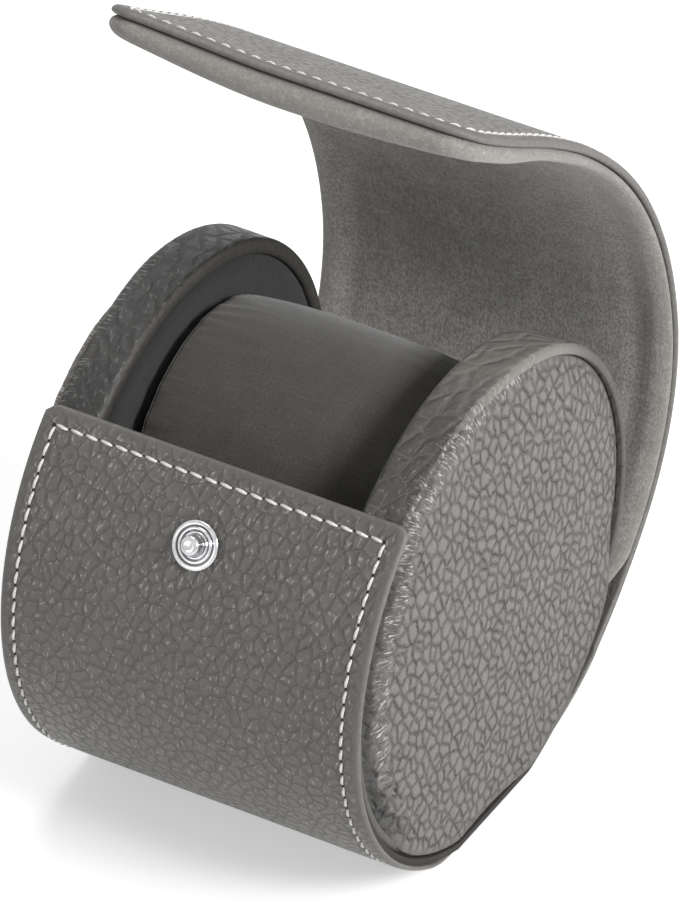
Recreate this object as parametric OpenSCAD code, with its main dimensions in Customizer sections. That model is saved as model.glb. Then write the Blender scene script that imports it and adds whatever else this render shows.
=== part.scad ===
// Round travel case for one watch.
// A stiffened leather wrap is fixed round the lower half of two padded end cheeks.
// It runs on past them as a free flap that closes over the top with a press stud.
// +X is to the right, +Y to the back, +Z up. The origin is the middle of the base.

/* [Roll] */
// Radius of the padded end cheeks
cheek_r = 52; // [45:0.5:60]
// Outer plane of each cheek's lip, from the middle
cheek_outer_x = 39.5; // [36:0.5:46]
// Thickness of each cheek
cheek_t = 11; // [9:0.5:13]
// Width of the flat that the roll rests on
base_flat = 28; // [20:1:36]

/* [Wrap] */
// Full width of the wrap
wrap_w = 80; // [76:0.5:86]
// Outer leather of the wrap
leather_t = 1.3; // [1:0.1:1.6]
// Stiffener between the leather and the cheeks
board_t = 1.3; // [1:0.1:1.6]
// Padded suede inside the tray
tray_lining_t = 2.2; // [1.5:0.1:3]
// Angle of the front panel's top edge, counted from the back
panel_top_a = 130; // [124:1:136]
// Corner radius of the front panel
panel_corner_r = 3; // [1:0.5:5]

/* [Flap] */
// Width of the flap
flap_w = 78; // [74:0.5:82]
// Stiffener inside the flap
flap_board_t = 0.7; // [0.5:0.1:1]
// Padded suede under the flap
flap_lining_t = 2.6; // [2:0.1:3]
// Corner radius of the flap's front edge
flap_corner_r = 8; // [4:0.5:12]
// How far the flap is wrapped over the top, from open to closed
closed = 0; // [0:0.05:1]
// How far the flap's tongue is pressed down towards the stud
pressed = 0; // [0:0.05:1]

/* [Press stud] */
// Angle of the stud on the front panel, counted from the back
stud_a = 147.6; // [146:0.1:149]
// Diameter of the stud's flange
stud_flange_d = 9.8; // [8:0.1:12]
// Diameter of the stud's post
stud_post_d = 4; // [3:0.1:4.4]
// Distance from the flap's front edge to the socket
socket_inset = 14.8; // [13:0.1:16]
// Outer diameter of the socket
socket_d = 10; // [9:0.1:12]

/* [Cushion] */
// Radius of the cushion at its crown
cushion_r = 32.5; // [28:0.5:33]
// Height of the cushion's middle above the cheeks' axis
cushion_up = 13; // [10:0.5:14]
// Distance of the cushion's middle behind the cheeks' axis
cushion_back = 1; // [0:0.5:3]
// Half the length of the cushion's sewn sleeve
sleeve_half = 25.5; // [22:0.5:26]

/* [Hidden] */
$fn = 96;
eps = 0.01;
// air left between glued layers, so that their facets never cross
layer_gap = 0.02;

wrap_r = cheek_r + board_t + leather_t;
axis_h = sqrt(wrap_r * wrap_r - base_flat * base_flat / 4);
cheek_inner_x = cheek_outer_x - cheek_t;

// cheek layers
rim_t = 1.2;
edge_round = 1.4;
face_r = cheek_r - 1.8;
face_t = 1.2;
face_gap = 0.4;
core_outer_x = cheek_outer_x - 3;
face_edge_x = core_outer_x + face_t;
face_crown = 3.4;
cheek_lining_r = cheek_r - 3.2;
cheek_lining_t = 1;

// the wrap leaves the cheeks here and runs straight to the first fold
leave_a = -54;
stub_len = 8.5;
arc_step = 2.5;
board_inset = 0.6;
board_top_inset = 1.8;
tray_side_gap = 0.1;
tray_top_drop = 1;

// flap strips, from the first fold to the front edge: length, turn at rest,
// and the angle that each fold closes by
strip_len = [29, 44, 32, 26, 24, 22, 27.5];
strip_turn = [16, 44, 21, 16, 10, 5, -4];
fold_close = [9, 16, 4, 11.5, 10.5, 5, 35];
// share of each fold's closing angle by which it can also open further
open_share = 2 / 9;
strip_count = len(strip_len);
flap_t = leather_t + flap_board_t + flap_lining_t;
fold_gap = 0.04;
fold_spare = 0.3;
strip_steps = 10;
// the first strip's lining is tucked between the cheeks up to here
tuck_len = 17;
tuck_half = cheek_inner_x - 0.5;

// press stud
shank_d = 2.4;
stud_flange_t = 0.7;
stud_post_h = 3.2;
stud_back_d = 8;
stud_back_t = 0.6;
stud_back_sink = 0.2;
socket_proud = 1.8;
socket_bore_d = 5.4;
socket_roof_t = 0.8;
spring_wire = 0.45;
socket_back_d = 9;
socket_back_t = 0.5;

// cushion
cover_t = 1;
sleeve_draw = 0.07;
cushion_half = 27.9;
sleeve_steps = 16;
dome_steps = 10;

leather_colour = [0.36, 0.35, 0.34];
suede_colour = [0.42, 0.41, 0.40];
dark_suede_colour = [0.2, 0.2, 0.2];
board_colour = [0.55, 0.47, 0.36];
foam_colour = [0.85, 0.83, 0.78];
metal_colour = [0.8, 0.8, 0.82];

// ---------- shapes shared by the layers ----------

// moves from the cheeks' axis to the base
module on_axis() {
    translate([0, 0, axis_h]) children();
}

// extrudes a side outline (back, up) from x0 to x1
module along_x(x0, x1) {
    translate([x0, 0, 0]) rotate([90, 0, 90]) linear_extrude(x1 - x0) children();
}

// turns a (radius, x) outline about the cheeks' axis
module turned() {
    rotate([0, 90, 0]) rotate_extrude() children();
}

// stands on a cylinder of radius r at angle a, with +Z pointing out
module at_radius(a, r) {
    translate([0, r * cos(a), r * sin(a)]) rotate([a - 90, 0, 0]) children();
}

// depth of the flat base below the axis, for a layer at radius r
function flat_depth(r) = axis_h - (wrap_r - r);

// side outline of the roll at radius r, with its flat base
module roll(r) {
    depth = flat_depth(r);
    intersection() {
        circle(r, $fn = 180);
        translate([-r - 1, -depth]) square([2 * r + 2, r + depth + 1]);
    }
}

// points at radius r from angle a0 to a1, both ends included
function arc_points(r, a0, a1) =
    let (steps = ceil(abs(a1 - a0) / arc_step))
    [for (i = [0:steps]) let (a = a0 + (a1 - a0) * i / steps) r * [cos(a), sin(a)]];

// one face of the wrap: down the front, over the flat base, up the back and straight on
function wrap_face(r, top_a) =
    let (w = acos(flat_depth(r) / r), h = 90 + leave_a)
    concat(arc_points(r, top_a, 270 - w), arc_points(r, 270 + w, 360 + leave_a),
        [r * [cos(leave_a), sin(leave_a)] + stub_len * [cos(h), sin(h)]]);

// outline of one layer of the wrap
module wrap_layer(r_in, r_out, top_a) {
    outer = wrap_face(r_out, top_a);
    inner = wrap_face(r_in, top_a);
    polygon(concat(outer, [for (i = [len(inner) - 1:-1:0]) inner[i]]));
}

// ---------- the wrap ----------

// what a round corner of radius r leaves outside; its tip is the origin
module corner_cutter(r, deep) {
    linear_extrude(deep)
        difference() {
            translate([-r, -r]) square(r + 1);
            translate([-r, -r]) circle(r);
        }
}

// takes the two top corners of the front panel off
module panel_corners() {
    deep = 3 * leather_t;
    at_radius(panel_top_a, wrap_r)
        for (flip = [0, 1])
            mirror([flip, 0, 0]) translate([wrap_w / 2, 0, -deep])
                corner_cutter(panel_corner_r, 2 * deep);
}

module stud_shank_hole() {
    at_radius(stud_a, cheek_r - 1) cylinder(d = shank_d, h = wrap_r - cheek_r + 2, $fn = 48);
}

module wrap_leather() {
    color(leather_colour) on_axis()
        difference() {
            along_x(-wrap_w / 2, wrap_w / 2)
                wrap_layer(wrap_r - leather_t, wrap_r, panel_top_a);
            panel_corners();
            stud_shank_hole();
        }
}

module wrap_board() {
    half = wrap_w / 2 - board_inset;
    edge_a = panel_top_a + board_top_inset / wrap_r * 180 / PI;
    color(board_colour) on_axis()
        difference() {
            along_x(-half, half)
                wrap_layer(cheek_r + layer_gap, cheek_r + board_t - layer_gap, edge_a);
            stud_shank_hole();
        }
}

module tray_lining() {
    half = cheek_inner_x - tray_side_gap;
    color(suede_colour) on_axis()
        difference() {
            along_x(-half, half)
                wrap_layer(cheek_r - tray_lining_t, cheek_r, panel_top_a + tray_top_drop);
            at_radius(stud_a, cheek_r - stud_back_t - stud_back_sink)
                cylinder(d = stud_back_d, h = 2, $fn = 64);
        }
}

// ---------- the cheeks, drawn on the right and mirrored to the left ----------

// band with rounded edges, as (radius, x)
module rounded_band() {
    steps = 6;
    outer = [for (i = [0:steps]) let (a = 90 - 90 * i / steps)
        [cheek_r - edge_round + edge_round * cos(a),
            cheek_outer_x - edge_round + edge_round * sin(a)]];
    inner = [for (i = [0:steps]) let (a = -90 * i / steps)
        [cheek_r - edge_round + edge_round * cos(a),
            cheek_inner_x + edge_round + edge_round * sin(a)]];
    polygon(concat([[0, cheek_inner_x], [0, cheek_outer_x]], outer, inner));
}

// height of the puffed face over its edge, at radius r
function puff(r, edge_r) = face_crown * sqrt(max(0, 1 - pow(r / edge_r, 3)));

// outline under the puffed face, as (radius, x)
module puffed(edge_r, base_x, edge_x) {
    steps = 24;
    crown = [for (i = [0:steps]) let (r = edge_r * sin(90 * i / steps)) [r, edge_x + puff(r, edge_r)]];
    polygon(concat([[0, base_x]], crown, [[edge_r, base_x]]));
}

module cheek_core() {
    color(board_colour)
        along_x(cheek_inner_x + rim_t, core_outer_x) roll(cheek_r - rim_t);
}

module cheek_rim() {
    color(leather_colour)
        difference() {
            intersection() {
                along_x(cheek_inner_x, cheek_outer_x) roll(cheek_r);
                turned() rounded_band();
            }
            along_x(cheek_inner_x + rim_t, core_outer_x) roll(cheek_r - rim_t);
            along_x(core_outer_x - eps, cheek_outer_x + 1) roll(face_r);
            along_x(cheek_inner_x - 1, cheek_inner_x + rim_t + eps) roll(cheek_lining_r);
        }
}

module cheek_pad() {
    pad_r = face_r - face_gap - face_t;
    color(foam_colour)
        intersection() {
            turned() puffed(pad_r, core_outer_x, core_outer_x);
            along_x(core_outer_x, cheek_outer_x + face_crown) roll(pad_r);
        }
}

module cheek_face() {
    leather_r = face_r - face_gap;
    pad_r = leather_r - face_t;
    color(leather_colour)
        difference() {
            intersection() {
                turned() puffed(leather_r, core_outer_x, face_edge_x);
                along_x(core_outer_x, cheek_outer_x + face_crown + face_t) roll(leather_r);
            }
            intersection() {
                turned() puffed(pad_r, core_outer_x - 1, core_outer_x);
                along_x(core_outer_x - 2, cheek_outer_x + face_crown) roll(pad_r);
            }
        }
}

module cheek_lining() {
    color(dark_suede_colour)
        along_x(cheek_inner_x + rim_t - cheek_lining_t, cheek_inner_x + rim_t)
            roll(cheek_lining_r - 0.2);
}

// ---------- the flap ----------

// point at length s and depth d of an arc that starts at the origin along +x
function arc_point(s, d, length, turn) =
    let (r = length / turn * 180 / PI, a = turn * s / length)
    [(r - d) * sin(a), r - (r - d) * cos(a)];

// start of strip k on the outer face: back, up and heading
function strip_start(k) =
    k == 0
    ? let (h = 90 + leave_a)
        [wrap_r * cos(leave_a) + stub_len * cos(h), wrap_r * sin(leave_a) + stub_len * sin(h), h]
    : let (p = strip_start(k - 1),
        e = arc_point(strip_len[k - 1], 0, strip_len[k - 1], strip_turn[k - 1]))
        [p[0] + e[0] * cos(p[2]) - e[1] * sin(p[2]),
            p[1] + e[0] * sin(p[2]) + e[1] * cos(p[2]), p[2] + strip_turn[k - 1]];

// fold k lies on the lining's face, where strip k starts
function fold_at(k) =
    let (p = strip_start(k)) [p[0] - flap_t * sin(p[2]), p[1] + flap_t * cos(p[2])];

// how far a strip's end stands back from fold k at depth d, so that it can open further
function fold_relief(k, d) =
    k == strip_count ? 0
    : fold_gap / 2 + (flap_t - d) * tan(fold_close[k] * open_share / (k == 0 ? 1 : 2) + fold_spare);

// outline of strip k between two depths, from length s0 to its end
module strip_outline(k, d0, d1, s0) {
    length = strip_len[k];
    function from(d) = max(s0, fold_relief(k, d));
    function to(d) = length - fold_relief(k + 1, d);
    function row(d) = [for (i = [0:strip_steps])
        arc_point(from(d) + (to(d) - from(d)) * i / strip_steps, d, length, strip_turn[k])];
    top = row(d0);
    bottom = row(d1);
    polygon(concat(top, [for (i = [strip_steps:-1:0]) bottom[i]]));
}

// turns strip k with every fold behind it, as far as the flap is closed
module folded(k) {
    f = fold_at(max(k, 0));
    share = k == strip_count - 1 ? pressed : closed;
    if (k < 0) children();
    else folded(k - 1)
        translate([0, f[0], f[1]]) rotate([share * fold_close[k], 0, 0])
            translate([0, -f[0], -f[1]]) children();
}

// a layer of strip k, half as wide as given
module strip(k, d0, d1, half, s0 = 0) {
    p = strip_start(k);
    along_x(-half, half) translate([p[0], p[1]]) rotate(p[2]) strip_outline(k, d0, d1, s0);
}

// plate with round front corners that the last strip is cut to, seen square on
module front_plate(half, inset) {
    k = strip_count - 1;
    p = strip_start(k);
    front = strip_len[k] - inset;
    r = flap_corner_r - inset;
    translate([0, p[0], p[1]]) rotate([p[2], 0, 0])
        translate([0, 0, -10]) linear_extrude(25) {
            translate([-half, -5]) square([2 * half, front - r + 5]);
            translate([r - half, 0]) square([2 * half - 2 * r, front]);
            for (side = [-1, 1]) translate([side * (half - r), front - r]) circle(r);
        }
}

// keeps the last strip inside its rounded plate and leaves the others as they are
module trimmed(k, half, inset) {
    if (k < strip_count - 1) children();
    else intersection() {
        children();
        front_plate(half, inset);
    }
}

// stands at the socket on the lining's face, with +Z pointing inwards
module at_socket(d) {
    k = strip_count - 1;
    p = strip_start(k);
    s = strip_len[k] - socket_inset;
    q = arc_point(s, d, strip_len[k], strip_turn[k]);
    h = p[2] + strip_turn[k] * s / strip_len[k];
    folded(k)
        translate([0, p[0] + q[0] * cos(p[2]) - q[1] * sin(p[2]),
            p[1] + q[0] * sin(p[2]) + q[1] * cos(p[2])])
            rotate([h, 0, 0]) children();
}

module flap_leather(k) {
    half = flap_w / 2;
    color(leather_colour) on_axis()
        difference() {
            folded(k) trimmed(k, half, 0) strip(k, 0, leather_t, half);
            if (k == strip_count - 1)
                at_socket(leather_t - socket_back_t)
                    cylinder(d = socket_back_d, h = 2, $fn = 64);
        }
}

module flap_board(k) {
    half = flap_w / 2 - board_inset;
    color(board_colour) on_axis()
        difference() {
            folded(k) trimmed(k, half, board_inset)
                strip(k, leather_t, leather_t + flap_board_t, half);
            if (k == strip_count - 1)
                at_socket(0) cylinder(d = shank_d, h = 4, $fn = 48);
        }
}

module flap_lining(k) {
    half = flap_w / 2 - 0.2;
    depth = leather_t + flap_board_t + layer_gap;
    color(suede_colour) on_axis()
        difference() {
            folded(k) trimmed(k, half, 0.2) {
                strip(k, depth, flap_t, half, k == 0 ? tuck_len : 0);
                if (k == 0) strip(k, depth, flap_t, tuck_half);
            }
            if (k == strip_count - 1)
                at_socket(leather_t) cylinder(d = socket_d, h = 2 * flap_t, $fn = 72);
        }
}

// ---------- the press stud ----------

module snap_stud() {
    post_r = stud_post_d / 2;
    flange_r = stud_flange_d / 2;
    color(metal_colour) on_axis()
        at_radius(stud_a, wrap_r) {
            rotate_extrude($fn = 72)
                polygon([
                    [0, 0], [flange_r - 0.3, 0], [flange_r, 0.15], [flange_r, 0.35],
                    [flange_r - 0.5, stud_flange_t], [flange_r - 1.3, stud_flange_t],
                    [flange_r - 1.7, 0.4], [post_r + 0.3, 0.4], [post_r - 0.3, 1],
                    [post_r - 0.3, 1.6], [post_r, 2.1], [post_r, stud_post_h - 0.6],
                    [post_r - 0.6, stud_post_h - 0.1], [post_r - 1, stud_post_h],
                    [0, stud_post_h]
                ]);
            translate([0, 0, -leather_t - board_t - stud_back_sink])
                cylinder(d = shank_d, h = leather_t + board_t + stud_back_sink + eps, $fn = 48);
        }
}

module snap_stud_back() {
    color(metal_colour) on_axis()
        at_radius(stud_a, cheek_r - stud_back_t - stud_back_sink)
            cylinder(d = stud_back_d - 0.1, h = stud_back_t - 0.02, $fn = 64);
}

// ring with a roof over the board, a deep bore and a groove for its spring
module snap_socket() {
    depth = flap_lining_t + socket_proud;
    bore_r = socket_bore_d / 2;
    groove = spring_wire + 0.1;
    color(metal_colour) on_axis()
        at_socket(leather_t + flap_board_t)
            rotate_extrude($fn = 72)
                polygon([
                    [0, 0], [socket_d / 2 - 0.1, 0], [socket_d / 2 - 0.1, depth - 0.7],
                    [socket_d / 2 - 0.7, depth], [bore_r + 0.5, depth], [bore_r, depth - 0.4],
                    [bore_r, depth - 1], [bore_r + groove, depth - 1],
                    [bore_r + groove, depth - 1 - groove], [bore_r, depth - 1 - groove],
                    [bore_r, socket_roof_t], [0, socket_roof_t]
                ]);
}

module snap_spring() {
    depth = flap_lining_t + socket_proud;
    ring_r = socket_bore_d / 2 + spring_wire / 2;
    color(metal_colour) on_axis()
        at_socket(leather_t + flap_board_t)
            translate([0, 0, depth - 1 - spring_wire / 2 - 0.05])
                rotate_extrude($fn = 72) translate([ring_r, 0]) circle(d = spring_wire, $fn = 24);
}

// rivet plate between the leather and the board, with its shank
module snap_socket_back() {
    color(metal_colour) on_axis() {
        at_socket(leather_t - socket_back_t)
            cylinder(d = socket_back_d - 0.1, h = socket_back_t - 0.02, $fn = 64);
        at_socket(leather_t - 0.1) cylinder(d = shank_d - 0.04, h = flap_board_t + 0.1, $fn = 48);
    }
}

// ---------- the cushion ----------

// radius of the sewn sleeve at x, drawn in towards its ends
function sleeve_r(x) = cushion_r * (1 - sleeve_draw * pow(abs(x) / sleeve_half, 4));

// outer face of the domed end at radius r
function end_x(r) =
    sleeve_half + (cushion_half - sleeve_half) * sqrt(max(0, 1 - pow(r / sleeve_r(sleeve_half), 2)));

// places of the sleeve's rings, and a radius for each ring of the dome
function sleeve_x(i) = sleeve_half * (2 * i / sleeve_steps - 1);
function dome_r(i, edge_r) = edge_r * sin(90 * i / dome_steps);

module in_cushion() {
    translate([0, cushion_back, axis_h + cushion_up]) children();
}

module cushion_cover() {
    outer = [for (i = [0:sleeve_steps]) [sleeve_r(sleeve_x(i)), sleeve_x(i)]];
    inner = [for (i = [sleeve_steps:-1:0]) [outer[i][0] - cover_t, outer[i][1]]];
    color(dark_suede_colour) in_cushion() turned() polygon(concat(outer, inner));
}

module cushion_end() {
    bore_r = sleeve_r(sleeve_half) - cover_t;
    outer = [for (i = [0:dome_steps]) let (r = dome_r(i, bore_r + cover_t)) [r, end_x(r)]];
    inner = [for (i = [dome_steps:-1:0]) let (r = dome_r(i, bore_r)) [r, end_x(r) - cover_t]];
    color(dark_suede_colour) turned() polygon(concat(outer, [[bore_r, sleeve_half]], inner));
}

module cushion_foam() {
    under = cover_t + layer_gap;
    bore_r = sleeve_r(sleeve_half) - cover_t;
    side = [for (i = [1:sleeve_steps - 1]) [sleeve_r(sleeve_x(i)) - under, sleeve_x(i)]];
    right = [for (i = [dome_steps:-1:0]) let (r = dome_r(i, bore_r))
        [max(0, r - layer_gap), end_x(r) - under]];
    left = [for (i = [dome_steps:-1:0]) [right[i][0], -right[i][1]]];
    color(foam_colour) in_cushion() turned() polygon(concat(left, side, right));
}

// ---------- the assembly ----------

wrap_leather();
wrap_board();
tray_lining();
on_axis() cheek_core();  // right_cheek_core
on_axis() cheek_rim();  // right_cheek_rim
on_axis() cheek_pad();  // right_cheek_pad
on_axis() cheek_face();  // right_cheek_face
on_axis() cheek_lining();  // right_cheek_lining
on_axis() mirror([1, 0, 0]) cheek_core();  // left_cheek_core
on_axis() mirror([1, 0, 0]) cheek_rim();  // left_cheek_rim
on_axis() mirror([1, 0, 0]) cheek_pad();  // left_cheek_pad
on_axis() mirror([1, 0, 0]) cheek_face();  // left_cheek_face
on_axis() mirror([1, 0, 0]) cheek_lining();  // left_cheek_lining
snap_stud();
snap_stud_back();
for (k = [0:strip_count - 1]) {
    flap_leather(k);
    flap_board(k);
    flap_lining(k);
}
snap_socket();
snap_spring();
snap_socket_back();
cushion_cover();
in_cushion() cushion_end();  // cushion_end_right
in_cushion() mirror([1, 0, 0]) cushion_end();  // cushion_end_left
cushion_foam();
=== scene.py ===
"""A round travel case: pebbled leather, a suede lining and a press stud.

The wrap and its flap are one strip of leather, so both are built along one side
outline, from the front panel's top edge round the base, up the back and over.
Lengths in this file are in millimetres and turn into metres in make_mesh.
Names: x runs across the case to its right, s is length along the strip's outer
face, depth is how far a point lies under that face, d how far it is from an edge.
"""
import math
from functools import partial

import bpy
import numpy as np
from mathutils import Matrix, Vector, noise
from mathutils.kdtree import KDTree


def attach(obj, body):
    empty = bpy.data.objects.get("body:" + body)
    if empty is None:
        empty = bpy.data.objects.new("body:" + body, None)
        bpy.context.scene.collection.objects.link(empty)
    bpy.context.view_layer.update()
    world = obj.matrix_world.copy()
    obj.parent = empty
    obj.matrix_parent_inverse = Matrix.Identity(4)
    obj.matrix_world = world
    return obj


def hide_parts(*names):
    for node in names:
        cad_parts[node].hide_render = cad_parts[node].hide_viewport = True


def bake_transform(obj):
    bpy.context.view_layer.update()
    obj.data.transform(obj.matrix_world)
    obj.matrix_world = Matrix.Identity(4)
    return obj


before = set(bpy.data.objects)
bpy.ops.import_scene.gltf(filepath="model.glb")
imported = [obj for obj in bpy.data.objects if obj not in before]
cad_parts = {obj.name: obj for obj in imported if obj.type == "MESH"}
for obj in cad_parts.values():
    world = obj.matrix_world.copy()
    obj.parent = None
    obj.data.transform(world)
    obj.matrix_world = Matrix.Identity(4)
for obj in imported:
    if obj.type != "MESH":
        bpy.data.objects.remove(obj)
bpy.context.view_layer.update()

MM = 0.001
TINY = 1e-6

# ---------- sizes of the part ----------

WRAP_R = 54.6
CHEEK_R = 52.0
BASE_FLAT = 28.0
AXIS_H = math.sqrt(WRAP_R ** 2 - BASE_FLAT ** 2 / 4)
CHEEK_OUTER_X = 39.5
CHEEK_INNER_X = 28.5
PANEL_TOP = 130.0
LEAVE = -54.0
STUB = 8.5
STRIP_LEN = (29, 44, 32, 26, 24, 22, 27.5)
STRIP_TURN = (16, 44, 21, 16, 10, 5, -4)
WRAP_HALF = 39.8
FLAP_HALF = 39.9
LEATHER_T = 1.3
BOARD_T = 1.3
TRAY_LINING_T = 2.2
FLAP_BACKED_T = 2.0
LINING_T = 2.6
LAYER_GAP = 0.02
TURNED_IN_T = 2.5
STUD_A = 147.6
SOCKET_INSET = 14.8
CUSHION_R = 32.5
CUSHION_UP = 13.0
CUSHION_BACK = 1.0
SLEEVE_HALF = 25.5
CUSHION_HALF = 27.9


def smooth_step(v, low, high):
    t = np.clip((v - low) / (high - low), 0, 1)
    return t * t * (3 - 2 * t)


def hump(v, rise, fall):
    """1 between the two ranges, and 0 before the first and after the second."""
    return smooth_step(v, *rise) * (1 - smooth_step(v, *fall))


# ---------- the side outline ----------

PATH_STEP = 0.5
FLAT_SHARPNESS = 200.0
FLAT_FADE_R = 48.0


def roll_radius(angle, r):
    """Radius of the roll at an angle in radians, for a layer of radius r: round, with a flat base."""
    flat = AXIS_H / np.maximum(-np.sin(angle), TINY)
    cut = WRAP_R - WRAP_R * (1 + (WRAP_R / flat) ** FLAT_SHARPNESS) ** (-1 / FLAT_SHARPNESS)
    return r - cut * np.minimum(1, r / FLAT_FADE_R)


def arc_points(length, turn):
    """Points of one flap strip from its own start, and the heading at its end."""
    steps = int(length / PATH_STEP)
    turn = math.radians(turn)
    a = np.linspace(0, turn, steps + 1)[1:]
    r = length / turn
    return r * np.sin(a), r - r * np.cos(a), turn


def side_path():
    """Outer face of wrap and flap as (back, up) points, and the length where each fold lies."""
    angle = np.radians(np.arange(PANEL_TOP, 360 + LEAVE + TINY, PATH_STEP))
    r = roll_radius(angle, WRAP_R)
    y, z = list(r * np.cos(angle)), list(r * np.sin(angle) + AXIS_H)
    heading = math.radians(90 + LEAVE)
    marks = [len(y) - 1]
    for i in range(int(STUB / PATH_STEP)):
        y.append(y[-1] + PATH_STEP * math.cos(heading))
        z.append(z[-1] + PATH_STEP * math.sin(heading))
    for length, turn in zip(STRIP_LEN, STRIP_TURN):
        marks.append(len(y) - 1)
        along, across, turned = arc_points(length, turn)
        y0, z0 = y[-1], z[-1]
        y += list(y0 + along * math.cos(heading) - across * math.sin(heading))
        z += list(z0 + along * math.sin(heading) + across * math.cos(heading))
        heading += turned
    y, z = np.array(y), np.array(z)
    s = np.concatenate([[0], np.cumsum(np.hypot(np.diff(y), np.diff(z)))])
    return y, z, s, s[marks]


PATH_Y, PATH_Z, PATH_S, MARKS = side_path()
NORMAL_Y = -np.gradient(PATH_Z, PATH_S)
NORMAL_Z = np.gradient(PATH_Y, PATH_S)
S_LEAVE, S_FOLD = MARKS[0], MARKS[1:]
S_END = PATH_S[-1]
S_SOCKET = S_END - SOCKET_INSET

TIP_LIFT = 1.3
TIP_SPREAD = 1.3
PANEL_SHIFT = 0.6
TIP_SHIFT = -0.4


def strip_shift(s):
    """The strip lies a little to the right at the front panel and to the left at the flap's tip."""
    return PANEL_SHIFT + (TIP_SHIFT - PANEL_SHIFT) * smooth_step(s, S_LEAVE - 20, S_END - 40)


def tip_lift(x, s):
    """The flap's left front corner stands up a little, as a soft flap does."""
    return TIP_LIFT * smooth_step(s, S_END - 60, S_END) * smooth_step(-x, 0, FLAP_HALF)


def tip_spread(s):
    """How much wider each side of the soft flap is towards its front corners."""
    return TIP_SPREAD * smooth_step(s, S_END - 70, S_END)


def on_path(s, depth):
    """(back, up) of points at length s, that far under the outer face."""
    y = np.interp(s, PATH_S, PATH_Y) + depth * np.interp(s, PATH_S, NORMAL_Y)
    z = np.interp(s, PATH_S, PATH_Z) + depth * np.interp(s, PATH_S, NORMAL_Z)
    return y, z


def on_cloth(x, s, depth):
    """Points of the wrap or flap at x and length s, that far under the outer face."""
    y, z = on_path(s, depth - tip_lift(x, s))
    return np.stack([x + strip_shift(s) + 0 * y, y, z], -1)


def length_at(angle):
    """Length along the outer face at an angle on the roll, in degrees."""
    a = np.degrees(np.arctan2(PATH_Z - AXIS_H, PATH_Y)) % 360
    first = PATH_S <= S_LEAVE
    return float(np.interp(angle, a[first], PATH_S[first]))


# ---------- meshes ----------

RIM_FAR = 12


def full_turn(steps):
    """Angles in radians of points spread evenly round a circle."""
    return np.arange(steps) * 2 * math.pi / steps


def add_object(name, data):
    """A new object of the scene with this mesh, lamp or camera."""
    made = bpy.data.objects.new(name, data)
    bpy.context.scene.collection.objects.link(made)
    return made


def make_mesh(name, points, faces, flat_faces=(), places=None, numbers=None):
    """A smooth mesh from millimetre points; flat_faces come after faces and stay flat.

    places are named vectors and numbers named values of every point, for the materials.
    """
    mesh = bpy.data.meshes.new(name)
    every = list(faces) + list(flat_faces)
    mesh.from_pydata((np.asarray(points, float) * MM).tolist(), [], every)
    smooth = np.arange(len(every)) < len(faces)
    mesh.polygons.foreach_set("use_smooth", smooth)
    for named, kind, field in ((places, "FLOAT_VECTOR", "vector"), (numbers, "FLOAT", "value")):
        for label, values in (named or {}).items():
            mesh.attributes.new(label, kind, "POINT")
            mesh.attributes[label].data.foreach_set(field, np.asarray(values, np.float32).ravel())
    mesh.update()
    return add_object(name, mesh)


def finish_piece(piece, material, body=None, nodes=(), bend=None):
    """Gives a piece its materials, hides the CAD parts it stands for, and attaches it to its body; a piece
    with a bend only has its place baked into its points.
    """
    for m in material if isinstance(material, tuple) else (material,):
        piece.data.materials.append(m)
    if nodes:
        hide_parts(*nodes)
    if bend is None:
        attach(piece, body)
    else:
        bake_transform(piece)


def tube_faces(first, rings, sides):
    """Faces of a tube whose rings of points follow each other, with a cap at each end."""
    faces = []
    for a in range(first, first + (rings - 1) * sides, sides):
        for j in range(sides):
            k = (j + 1) % sides
            faces.append((a + j, a + k, a + sides + k, a + sides + j))
    last = first + (rings - 1) * sides
    return faces + [tuple(range(first, first + sides))[::-1], tuple(range(last, last + sides))]


def ring_faces(steps, rows, inward=False):
    """Quads of a net of points, row by row, that closes round into a ring."""
    index = np.arange(steps * rows).reshape(steps, rows)
    after = np.roll(index, -1, 0)
    a, b, c, e = index[:, :-1], after[:, :-1], after[:, 1:], index[:, 1:]
    return np.stack([a, e, c, b] if inward else [a, b, c, e], -1).reshape(-1, 4).tolist()


class Plan:
    """Outline of a strip of leather or cloth laid flat, and how far a point is from its edge."""

    def __init__(self, half, start, end, start_corner, end_corner):
        self.half, self.start, self.end = half, start, end
        self.start_corner, self.end_corner = start_corner, end_corner

    def half_at(self, s):
        return self.half(s) if callable(self.half) else np.full_like(s, self.half)

    def ends(self, s):
        """How far s is from each end, with the radius of that end's corners."""
        return (s - self.start, self.start_corner), (self.end - s, self.end_corner)

    def edge(self, x, s):
        side = self.half_at(s) - np.abs(x)
        d = side.copy()
        for away, corner in self.ends(s):
            round_d = corner - np.hypot(corner - side, corner - away)
            d = np.where((side < corner) & (away < corner), round_d, np.minimum(d, away))
        return np.maximum(d, 0)

    def width_at(self, s):
        half = self.half_at(s)
        for away, corner in self.ends(s):
            short = np.clip(corner - away, 0, corner)
            half = half - (corner - np.sqrt(np.maximum(corner ** 2 - short ** 2, 0)))
        return half


EDGE_STEPS = (0, 0.012, 0.05, 0.11, 0.2, 0.32, 0.46, 0.62, 0.8, 1.05, 1.35, 1.7, 2.1, 2.5,
              2.9, 3.2, 3.5, 3.8, 4.1, 4.4, 4.8, 5.3, 6.0, 7.0)
COLUMN_STEP = 1.3
STATION_STEP = 1.0
LEAST_STEP = 0.004
END_REACH = 3.0
SAME_PLACE = 0.01


def columns(half):
    """Places across a strip, close together near its edges."""
    inner = half - EDGE_STEPS[-1]
    n = max(2, int(2 * inner / COLUMN_STEP))
    middle = np.linspace(-inner, inner, n + 1)[1:-1]
    left = -half + np.array(EDGE_STEPS)
    return np.concatenate([left, middle, -left[::-1]])


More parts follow.
